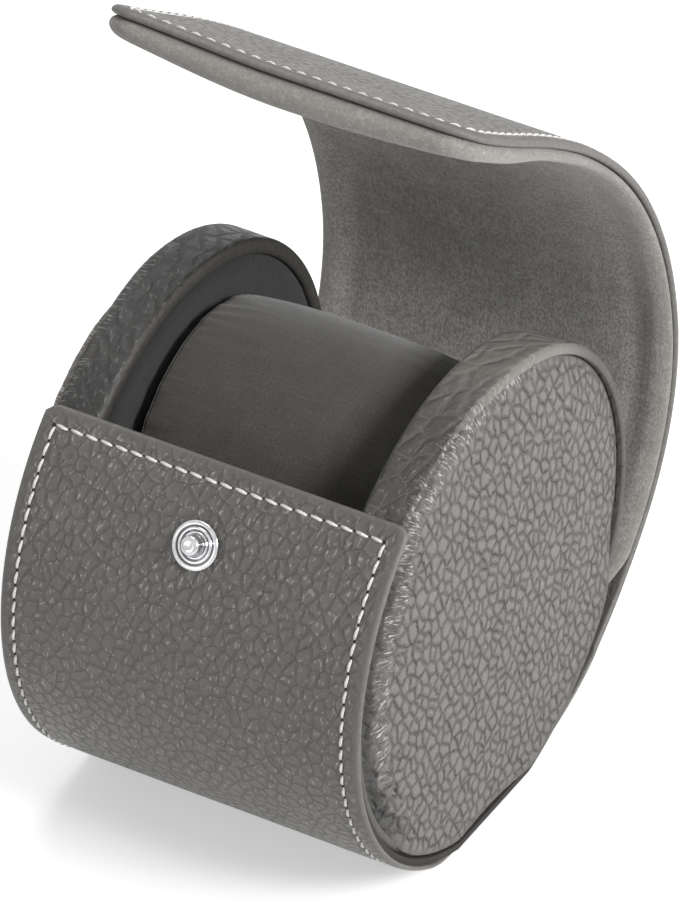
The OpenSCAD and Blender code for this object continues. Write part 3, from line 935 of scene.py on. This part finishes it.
def lining_inner(x, s, d):
    """Inner face of the padded lining: a roll along its edge, and fuller towards the front edge.

    It is thin where it starts beside the cheeks, and leaves room for their rims when the flap is closed.
    """
    across = np.clip(1 - (x / LINING_HALF) ** 2, 0, 1)
    fuller = EDGE_FULLNESS * smooth_step(s, S_END - 75, S_END - 40)
    swell = MIDDLE_FULLNESS * across * smooth_step(s, S_END - 40, S_END - 6)
    roll = (ROLL_RISE * np.exp(-((d - ROLL_AT) / ROLL_LONG) ** 2)
            - VALLEY_DROP * np.exp(-((d - VALLEY_AT) / VALLEY_LONG) ** 2))
    from_socket = np.hypot(x + strip_shift(s), s - S_SOCKET)
    beside_cheek = smooth_step(np.abs(x), CHEEK_INNER_X - 1, CHEEK_INNER_X + 0.5)
    thin = THIN_START * (1 - smooth_step(s, TUCKED_TO + 1, TUCKED_TO + 9)) * beside_cheek
    room = REST_ROOM * (1 - smooth_step(s, S_END - 40, S_END - 20))
    depth = FLAP_BACKED_T + LINING_T - thin + (fuller + swell) * smooth_step(from_socket, 5, 11)
    depth = depth + smooth_step(s, TUCKED_TO + 4, S_FOLD[1]) * (roll - room)
    return np.where(from_socket < SOCKET_HOLE_R, FLAP_BACKED_T + 0.1, depth)


def make_linings():
    cuts = [LINING_START] + S_CUT[1:7] + [LINING_END]
    for k in FOLDS:
        pad = strip_mesh(f"flap_lining_bend_{k + 1}", LINING_PLAN, cuts[k], cuts[k + 1],
                         flat_at(FLAP_BACKED_T + LAYER_GAP), lining_inner, LINING_EDGE)
        finish_piece(pad, SUEDE, nodes=(f"flap_lining_{k + 1}",), bend=fold_bend(k))
    tray_plan = Plan(TUCKED_HALF, length_at(PANEL_TOP + 1), S_FOLD[0], 1.5, 1.0)
    outer_depth = LEATHER_T + BOARD_T
    tray = strip_mesh("tray_lining_pad", tray_plan, tray_plan.start, tray_plan.end,
                      flat_at(outer_depth + LAYER_GAP), flat_at(outer_depth + TRAY_LINING_T), 1.0)
    finish_piece(tray, DARK_SUEDE, "case", ("tray_lining",))


def make_stitching():
    stitches, holes = place_stitches()
    bounds = [0.0] + S_CUT
    for k in range(8):
        low, high = bounds[k], bounds[k + 1]
        mine = [e for e in stitches if low <= e[:, 1].mean() < high]
        dark = [h for h in holes if low <= h[1] < high]
        name = "panel_stitching" if k == 0 else f"flap_stitching_{k}"
        bend = None if k == 0 else fold_bend(k - 1)
        finish_piece(stitch_mesh(name, mine, dark), (THREAD, NEEDLE_HOLE_SHADE), "case", bend=bend)


# ---------- the cheeks ----------

SEAM_R = 49.7
SEAM_GAP = 0.1
COVER_R = 1.7
COVER_X = 1.3
FACE_EDGE_X = 37.75
FACE_CROWN = 3.4
PULL_WIDTH = 2.6
LEFT_DRAWN = 0.12
CHEEK_STEPS = 1080
SUEDE_STEPS = 240
PANEL_DRAWN = 5.0
FREE_PULL = 0.08
FACE_FOLDS, FACE_PUCKERS, FACE_SLACK = 0.8, 1.5, 0.35
PUCKER_R, PUCKER_WIDTH = 44.8, 2.8
PANEL_SINK = 1.1
LIP_SINK = 0.9
LIP_FOLDS, LIP_UNEVEN, BAND_WAVES = 0.5, 0.1, 0.14
SUEDE_X, SUEDE_SINK = 28.62, 0.9


def lip_share(angle):
    """1 where the rim's lip shows, over the top and back; elsewhere the puffed face covers it."""
    return hump((np.degrees(angle) + 180) % 360 - 180, (-38, -12), (86, 114))


def front_share(angle):
    """1 where the cheek's seam is pulled tight at the front and top, 0 where its bead stands free."""
    return hump(np.degrees(angle) % 360, (58, 82), (178, 215))


def beside_panel(angle):
    """1 where the cheek's face stands behind the front panel's edge, with a gap between them."""
    return hump(np.degrees(angle) % 360, (128, 146), (208, 232))


def seam_pull(angle, r):
    """How much the leather is pulled at a place near the cheek's outer seam."""
    middle = SEAM_R - PANEL_DRAWN * beside_panel(angle)
    tight = (1 - FREE_PULL) * front_share(angle) + FREE_PULL
    return np.exp(-(np.abs(r - middle) / PULL_WIDTH) ** 1.5) * tight


def polar_mesh(name, profile, side, steps, dent=None, closed_middle=False, from_edge=None):
    """A (radius, x) profile swept round the roll, with its flat base; side is 1 right, -1 left.

    A face with a closed middle carries painted shade for the gap beside the panel, and the right rim a
    painted light over its top.
    """
    profile = np.asarray(profile, float)
    rows = len(profile)
    angle = np.repeat(full_turn(steps)[:, None], rows, 1)
    r = roll_radius(angle, profile[None, :, 0])
    x = flat_x = np.repeat(profile[None, :, 1], steps, 0)
    if dent is not None:
        r, x = dent(angle, r, x)
    y, z = r * np.cos(angle), r * np.sin(angle)
    along = np.concatenate([[0], np.cumsum(np.hypot(*np.diff(profile, axis=0).T))])
    arc = angle * CHEEK_R
    around = np.stack([arc, np.repeat(along[None, :], steps, 0), 0 * arc], -1)
    rim = np.repeat((0 * along + RIM_FAR if from_edge is None else from_edge)[None, :], steps, 0)
    if closed_middle:
        cloth = np.stack([y, z, 0 * y], -1)
        beside_seam = 1.0
        # painted shade: the face darkens towards its edge beside the panel, for the shade in the gap there
        shade = beside_panel(angle) * smooth_step(r, SEAM_R - 4.4, SEAM_R - 2.2)
    else:
        cloth = around[..., [1, 0, 2]]
        beside_seam = smooth_step(flat_x, CHEEK_OUTER_X - 5, CHEEK_OUTER_X - 1.5)
        # painted light: the right rim's band is lighter over its top, where the key lamp falls
        shade = hump(np.degrees(angle), (40, 65), (82, 118)) * (side > 0)
    pull = seam_pull(angle, r) * beside_seam
    values = [np.stack([side * x, y, AXIS_H + z], -1), cloth, around, rim, pull, shade]
    values = [v.reshape(steps * rows, -1) for v in values]
    faces = ring_faces(steps, rows)
    if closed_middle:
        values = [np.concatenate([v, v[::rows].mean(0, keepdims=True)]) for v in values]
        faces += [(steps * rows, (i + 1) % steps * rows, i * rows) for i in range(steps)]
    if side < 0:
        faces = [f[::-1] for f in faces]
    points, cloth, around, rim, pull, shade = values
    return make_mesh(name, points, faces, (), {"cloth": cloth, "around": around},
                     {"rim": rim, "pull": pull, "gap" if closed_middle else "painted_top_light": shade})


def face_profile():
    """Puffed face of a cheek, from the middle out and down into the groove inside the bead."""
    r = SEAM_R * np.sin(np.radians(np.linspace(1.5, 90, 96)))
    x = FACE_EDGE_X + FACE_CROWN * np.sqrt(np.maximum(0, 1 - (r / SEAM_R) ** 3))
    return list(zip(r, x)) + [(SEAM_R, 37.2), (SEAM_R - 0.1, 36.9)]


def noise_at(angle, r, turns, per_mm, seed):
    """Unevenness round a cheek: turns is how often it changes in a full turn."""
    k = turns / (2 * math.pi)
    values = [noise.noise(Vector((k * math.cos(a), k * math.sin(a), seed + b * per_mm)))
              for a, b in zip(np.ravel(angle), np.ravel(r))]
    return np.array(values).reshape(np.shape(r))


def face_dent(angle, r, x, drawn):
    """Small folds along the seam, as deep as it is drawn, and fuller puckers beside the front panel.

    The face covers the lip below, most at the lower back, and sinks at its edge beside the panel.
    """
    folds = noise_at(angle, r, 300, 0.18, 7.7)
    puckers = noise_at(angle, r, 90, 0.3, 3.3)
    slack = noise_at(angle, r, 9, 0.05, 1.3)
    panel = beside_panel(angle)
    lower_back = hump(np.degrees(angle) % 360, (250, 285), (325, 350))
    covered = (1 - lip_share(angle)) * (1 + 0.6 * lower_back) * (1 - panel)
    near_edge = np.exp(-(SEAM_R - np.minimum(r, SEAM_R)) / 3.5) * smooth_step(x, 37.3, 37.7)
    folded = (FACE_FOLDS * drawn * seam_pull(angle, r) * folds
              + FACE_PUCKERS * drawn * panel * np.exp(-((r - PUCKER_R) / PUCKER_WIDTH) ** 2) * puckers)
    folded = folded + FACE_SLACK * smooth_step(-r, -49, -40) * slack - PANEL_SINK * panel * near_edge
    out = COVER_R * np.minimum(covered, 1.2) * smooth_step(r, 42, SEAM_R)
    return r + out, x + COVER_X * covered * near_edge + folded


def rim_dent(angle, r, x, drawn):
    """The lip creases and sinks a little where the leather is pulled at the front."""
    pull = drawn * seam_pull(angle, np.full_like(r, SEAM_R))
    lip = smooth_step(x, 37.6, 39.0)
    folds = noise_at(angle, x, 300, 0.3, 2.2)
    waves = noise_at(angle, x, 60, 0.12, 5.1)
    band = hump(x, (29.5, 31.5), (36.0, 38.0))
    sunk = LIP_SINK * lip * (1 - lip_share(angle))
    return (r + lip * pull * LIP_UNEVEN * folds + BAND_WAVES * band * waves,
            x + lip * pull * LIP_FOLDS * folds - sunk)


def arc(middle_r, middle_x, radius, start, end, count):
    """(radius, x) points of a rounded corner, from one angle in degrees to another."""
    return [(middle_r + radius * math.cos(math.radians(a)), middle_x + radius * math.sin(math.radians(a)))
            for a in np.linspace(start, end, count)]


def rim_profile():
    """Leather band round a cheek: inner lip, crowned band, outer lip and down into the groove."""
    corner, turned = 1.4, 0.5
    inner_lip = [(48.7, 29.9), (48.75, 28.9), (49.1, 28.55), (50.0, 28.5)]
    inner_corner = arc(CHEEK_R - corner, CHEEK_INNER_X + corner, corner, -90, 0, 9)
    band = [(CHEEK_R, x) for x in np.linspace(30.5, CHEEK_OUTER_X - corner, 12)]
    outer_corner = arc(CHEEK_R - corner, CHEEK_OUTER_X - corner, corner, 8, 90, 10)
    outer_lip = arc(SEAM_R + SEAM_GAP + turned, CHEEK_OUTER_X - turned, turned, 100, 180, 8)
    return inner_lip + inner_corner + band + outer_corner + outer_lip + [
        (SEAM_R + SEAM_GAP, 38.2), (SEAM_R + 0.05, 36.8)]


def suede_profile():
    """Inner face of a cheek: flat suede that rolls down into the leather lip."""
    flat_r, roll_r = 44.0, 4.5
    rolled = flat_r + roll_r * np.sin(np.radians(np.linspace(8, 90, 12)))
    r = np.concatenate([np.linspace(1, flat_r, 14), rolled])
    sunk = 1 - np.sqrt(np.maximum(0, 1 - (np.maximum(r - flat_r, 0) / roll_r) ** 2))
    return list(zip(r, SUEDE_X + SUEDE_SINK * sunk))


def make_cheeks():
    band = np.array(rim_profile())
    from_lip = np.minimum(CHEEK_OUTER_X - band[:, 1] - 0.2, band[:, 1] - CHEEK_INNER_X)
    from_lip = np.clip(from_lip * 1.2, 0.1, RIM_FAR)
    face = np.array(face_profile())
    from_seam = np.minimum(SEAM_R - face[:, 0] + 0.3, RIM_FAR)
    # the left band takes the darker copy: painted shade
    cheeks = (1, "right", 1.0, RIM_LEATHER), (-1, "left", LEFT_DRAWN, PAINTED_SHADE_RIM_LEATHER)
    for side, word, drawn, rim_leather in cheeks:
        rim = polar_mesh(f"{word}_rim_leather", band, side, CHEEK_STEPS, partial(rim_dent, drawn=drawn),
                         False, from_lip)
        finish_piece(rim, rim_leather, "case", (f"{word}_cheek_rim",))
        cover = polar_mesh(f"{word}_face_leather", face, side, CHEEK_STEPS, partial(face_dent, drawn=drawn),
                           True, from_seam)
        finish_piece(cover, FACE_LEATHER, "case", (f"{word}_cheek_face",))
        suede = polar_mesh(f"{word}_inner_suede", suede_profile(), -side, SUEDE_STEPS, None, True)
        suede.data.transform(Matrix.Scale(-1, 4, Vector((1, 0, 0))))
        finish_piece(suede, INNER_SUEDE, "case", (f"{word}_cheek_lining",))


# ---------- press stud ----------

STUD_STEPS = 96

# (radius, height, painted shade in its groove): a flange with a rolled edge, a dished ring, and the post
# with its neck
STUD_PROFILE = (
    (4.1, 0.0, 0.6), (4.75, 0.05, 0.6), (4.9, 0.22, 0.2), (4.86, 0.42, 0), (4.6, 0.6, 0),
    (4.25, 0.66, 0), (4.0, 0.62, 0), (3.9, 0.5, 0.5), (3.82, 0.36, 0.9), (3.7, 0.34, 0.9),
    (3.62, 0.42, 0.4), (3.5, 0.6, 0), (3.3, 0.68, 0), (3.1, 0.66, 0), (2.95, 0.52, 0.3),
    (2.85, 0.38, 0.8), (2.75, 0.36, 0.8), (2.66, 0.5, 0.1), (2.5, 0.62, 0), (2.35, 0.6, 0.1),
    (2.2, 0.5, 0.6), (2.02, 0.55, 0.7), (1.9, 0.8, 0.3), (1.78, 1.15, 0.5), (1.7, 1.6, 0.6),
    (1.8, 1.9, 0.2), (1.97, 2.2, 0), (2.0, 2.5, 0), (1.9, 2.8, 0), (1.6, 3.05, 0), (1.2, 3.17, 0.1),
    (0.9, 3.2, 0.15), (0.6, 3.16, 0.1), (0.2, 3.14, 0))


def make_stud():
    """The turned metal stud, standing square on the front panel."""
    angle = math.radians(STUD_A)
    place = Matrix.Translation((0, WRAP_R * math.cos(angle), WRAP_R * math.sin(angle) + AXIS_H))
    place = place @ Matrix.Rotation(math.radians(STUD_A - 90), 4, "X")
    points, groove_shade_shares = [], []
    for r, h, groove in STUD_PROFILE:
        for i in range(STUD_STEPS):
            a = 2 * math.pi * i / STUD_STEPS
            points.append(tuple(place @ Vector((r * math.cos(a), r * math.sin(a), h))))
            groove_shade_shares.append(groove)
    faces = tube_faces(0, len(STUD_PROFILE), STUD_STEPS)
    stud = make_mesh("press_stud_post", points, faces, (), None, {"groove": groove_shade_shares})
    finish_piece(stud, CHROME, "case", ("snap_stud",))


# ---------- cushion ----------

END_CROWN = 1.3
SEAM_RADIUS = CUSHION_R * 0.925
SIM_SCALE = 10.0
SIM_FRAMES = 20
SIM_VOXEL = 5.0
SIM_PRESSURE = 4.0
SWELL_CAP = 1.6
HELD_BESIDE, HELD_BELOW = 2.6, 4
NEAREST = 6
COARSE_STEPS, FINE_STEPS = 48, 300
FINE = 3
GATHER_DEPTH, GATHER_REACH = 0.55, 4.5
SLACK_DEPTH = 0.35
LENGTH_SEAM_DEPTH, LENGTH_SEAM_WIDTH = 0.7, 0.9
DOWN = 1.5 * math.pi


def cushion_profile(fine):
    """Half outline of the padded roll, from one end's middle to the other's, as (radius, x)."""
    end = [(SEAM_RADIUS * math.sin(a), -SLEEVE_HALF - 0.4 - END_CROWN * math.cos(a))
           for a in map(math.radians, np.linspace(2, 88, 12 * fine))]
    seam = [(SEAM_RADIUS - 0.25, -SLEEVE_HALF - 0.18), (SEAM_RADIUS - 0.75, -SLEEVE_HALF),
            (SEAM_RADIUS - 0.25, -SLEEVE_HALF + 0.18)] if fine > 1 else []
    xs = SLEEVE_HALF * np.sin(np.radians(np.linspace(-88, 88, 30 * fine)))
    start_r = CUSHION_R - SWELL_CAP * 0.6
    sleeve = [(SEAM_RADIUS + (start_r - SEAM_RADIUS) * (1 - abs(x / SLEEVE_HALF) ** 3), x) for x in xs]
    left = end + seam
    return np.array(left + sleeve + [(r, -x) for r, x in left[::-1]])


def cushion_mesh(fine, steps):
    """Points round the roll's own middle, their angle, and the faces of a closed form."""
    profile = cushion_profile(fine)
    rows = len(profile)
    r, x = (np.repeat(profile[None, :, i], steps, 0) for i in (0, 1))
    a = np.repeat(full_turn(steps)[:, None], rows, 1)
    points = np.stack([x, r * np.cos(a), r * np.sin(a)], -1).reshape(-1, 3)
    first_end = tuple(range(0, steps * rows, rows))
    last_end = tuple(range(steps * rows - 1, 0, -rows))
    return points, a.reshape(-1), ring_faces(steps, rows, True) + [first_end, last_end]


def evaluated_points(obj):
    graph = bpy.context.evaluated_depsgraph_get()
    mesh = bpy.data.meshes.new_from_object(obj.evaluated_get(graph))
    return mesh, np.array([v.co for v in mesh.vertices])


def swell_by_cloth():
    """Blows up a coarse cushion with its seams held, and returns its points and how far they moved."""
    points, _, faces = cushion_mesh(1, COARSE_STEPS)
    form = make_mesh("swell_form", points * SIM_SCALE, faces)
    remesh = form.modifiers.new("even_net", "REMESH")
    remesh.mode = "VOXEL"
    remesh.voxel_size = SIM_VOXEL * MM * SIM_SCALE
    net, start = evaluated_points(form)
    bag = add_object("swell_bag", net)
    to_seam = np.abs(np.abs(start[:, 0]) / (MM * SIM_SCALE) - SLEEVE_HALF)
    radius = np.hypot(start[:, 1], start[:, 2]) / (MM * SIM_SCALE)
    held = bag.vertex_groups.new(name="seams")
    near_seam = np.nonzero((to_seam < HELD_BESIDE) & (radius > SEAM_RADIUS - HELD_BELOW))[0]
    held.add(near_seam.tolist(), 1.0, "REPLACE")
    cloth = bag.modifiers.new("swell", "CLOTH")
    cloth.settings.vertex_group_mass = "seams"
    cloth.settings.use_pressure = True
    cloth.settings.uniform_pressure_force = SIM_PRESSURE
    cloth.settings.effector_weights.gravity = 0.0
    cloth.point_cache.frame_end = SIM_FRAMES
    for f in range(1, SIM_FRAMES + 1):
        bpy.context.scene.frame_set(f)
    swollen, end = evaluated_points(bag)
    for obj in (form, bag):
        bpy.data.objects.remove(obj)
    bpy.data.meshes.remove(swollen)
    bpy.context.scene.frame_set(1)
    return start / (MM * SIM_SCALE), (end - start) / (MM * SIM_SCALE)


def follow_swell(points):
    """Moves the fine cushion's points as the coarse one swelled, no further than the cap."""
    start, moved = swell_by_cloth()
    length = np.linalg.norm(moved, axis=1, keepdims=True)
    moved = moved * np.minimum(1, SWELL_CAP / np.maximum(length, TINY))
    tree = KDTree(len(start))
    for i, p in enumerate(start):
        tree.insert(Vector(p), i)
    tree.balance()
    out = points.copy()
    for i, p in enumerate(points):
        near = tree.find_n(Vector(p), NEAREST)
        weight = np.array([1 / (n[2] ** 2 + 1) for n in near])
        out[i] += (weight[:, None] * moved[[n[1] for n in near]]).sum(0) / weight.sum()
    return out


def make_cushion():
    """The padded roll: swollen between its two round seams, gathered along them, with a seam below."""
    points, angle, faces = cushion_mesh(FINE, FINE_STEPS)
    flat_x, radius = points[:, 0].copy(), np.hypot(points[:, 1], points[:, 2])
    points = follow_swell(points)
    on_sleeve = np.abs(flat_x) < SLEEVE_HALF
    to_seam = np.abs(np.abs(flat_x) - SLEEVE_HALF) + 0.5 * np.maximum(SEAM_RADIUS - radius, 0)
    gathers = noise_at(angle, flat_x, 95, 0.09, 4.4) * GATHER_DEPTH * np.exp(-to_seam / GATHER_REACH)
    slack = noise_at(angle, flat_x, 7, 0.03, 9.1) * SLACK_DEPTH
    from_bottom = (angle - DOWN) * CUSHION_R
    below = LENGTH_SEAM_DEPTH * np.exp(-(from_bottom / LENGTH_SEAM_WIDTH) ** 2) * on_sleeve
    share = 1 + (gathers + slack - below) * smooth_step(radius, 4, 20) / np.maximum(radius, 1)
    points[:, 1:] *= share[:, None]
    points[:, 0] = np.clip(points[:, 0], -CUSHION_HALF - 0.3, CUSHION_HALF + 0.3)
    on_end = (np.abs(flat_x) > SLEEVE_HALF)[:, None]
    cloth = np.where(on_end, points[:, [1, 2, 0]], np.stack([flat_x, angle * CUSHION_R, 0 * angle], -1))
    placed = points + np.array([0, CUSHION_BACK, AXIS_H + CUSHION_UP])
    roll = make_mesh("cushion_roll", placed, faces, (), {"cloth": cloth})
    finish_piece(roll, CUSHION_SUEDE, "cushion",
                 ("cushion_cover", "cushion_end_left", "cushion_end_right", "cushion_foam"))


# ---------- CAD nodes that stay ----------

KEPT_NODES = {BOARD: ("wrap_board", "right_cheek_core", "left_cheek_core"),
              FOAM: ("right_cheek_pad", "left_cheek_pad"),
              STEEL: ("snap_stud_back", "snap_socket", "snap_spring", "snap_socket_back")}


def finish_cad_nodes():
    for material, names in KEPT_NODES.items():
        for name in names:
            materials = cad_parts[name].data.materials
            materials.clear()
            materials.append(material)


# ---------- camera, floor and light ----------

PHOTO_LONG = 903
SENSOR = 36.0
CAMERA_AZ, CAMERA_EL = 30.28, 37.26
CAMERA_AWAY = 2000.0
CAMERA_FOCAL_PX = 10335.0
CAMERA_RIGHT, CAMERA_UP = 3.90, 16.90
LAMP_TARGET = Vector((0, 0, 0.06))
LAMPS = (("key_lamp", (1.03, -0.16, 0.76), 0.36, 14.0),
         ("top_lamp", (-0.15, 0.25, 1.0), 0.5, 4.0),
         ("front_lamp", (-0.3, -1.1, 0.3), 0.4, 1.2))
FLOOR_HALF = 3.0
FLOOR_GREY = 0.8
FLOOR_GLOW = 0.45
WORLD_LIGHT = 0.31
WHITE = (1, 1, 1, 1)


def place_camera():
    az, el = math.radians(CAMERA_AZ), math.radians(CAMERA_EL)
    back = Vector((math.sin(az) * math.cos(el), -math.cos(az) * math.cos(el), math.sin(el)))
    right = Vector((math.cos(az), math.sin(az), 0))
    up = back.cross(right)
    target = Vector((0, 0, AXIS_H)) + right * CAMERA_RIGHT + up * CAMERA_UP
    data = bpy.data.cameras.new("photo_camera")
    data.sensor_width = SENSOR
    data.lens = SENSOR * CAMERA_FOCAL_PX / PHOTO_LONG
    data.clip_start, data.clip_end = 0.1, 20
    camera = add_object("photo_camera", data)
    turn = Matrix((right, up, back)).transposed().to_4x4()
    camera.matrix_world = Matrix.Translation((target + back * CAMERA_AWAY) * MM) @ turn
    bpy.context.scene.camera = camera


def place_lamp(name, where, size, power):
    data = bpy.data.lights.new(name, "AREA")
    data.shape = "RECTANGLE"
    data.size = data.size_y = size
    data.energy = power
    lamp = add_object(name, data)
    lamp.location = where
    lamp.rotation_euler = (LAMP_TARGET - Vector(where)).to_track_quat("-Z", "Y").to_euler()


def seen_directly(n):
    """1 for light that goes to the camera, straight or by a reflection, 0 for light on the part."""
    kinds = [n.add("LightPath", {}, kind) for kind in ("Is Camera Ray", "Is Glossy Ray")]
    return n.math("MAXIMUM", *kinds)


def make_floor():
    h = FLOOR_HALF
    mesh = bpy.data.meshes.new("studio_floor")
    mesh.from_pydata([(-h, -h, 0), (h, -h, 0), (h, h, 0), (-h, h, 0)], [], [(0, 1, 2, 3)])
    floor = add_object("studio_floor", mesh)
    material, n, shader = start_material("white_floor")
    n.put(shader, {"Base Color": (FLOOR_GREY, FLOOR_GREY, FLOOR_GREY, 1), "Roughness": 0.8,
                   "Emission Color": WHITE, "Emission Strength": n.times(seen_directly(n), FLOOR_GLOW)})
    floor.data.materials.append(material)


def make_world():
    world = bpy.data.worlds.new("studio_world")
    bpy.context.scene.world = world
    world.use_nodes = True
    n = Nodes(world.node_tree)
    n.put(world.node_tree.nodes["Background"],
          {"Color": WHITE, "Strength": n.ramp(seen_directly(n), 0.0, 1.0, WORLD_LIGHT, 1.0)})


def light_studio():
    make_floor()
    make_world()
    for lamp in LAMPS:
        place_lamp(*lamp)
    bpy.context.scene.view_settings.view_transform = "Standard"


place_camera()
make_wrap()
make_linings()
make_stitching()
make_cheeks()
make_stud()
make_cushion()
finish_cad_nodes()
light_studio()
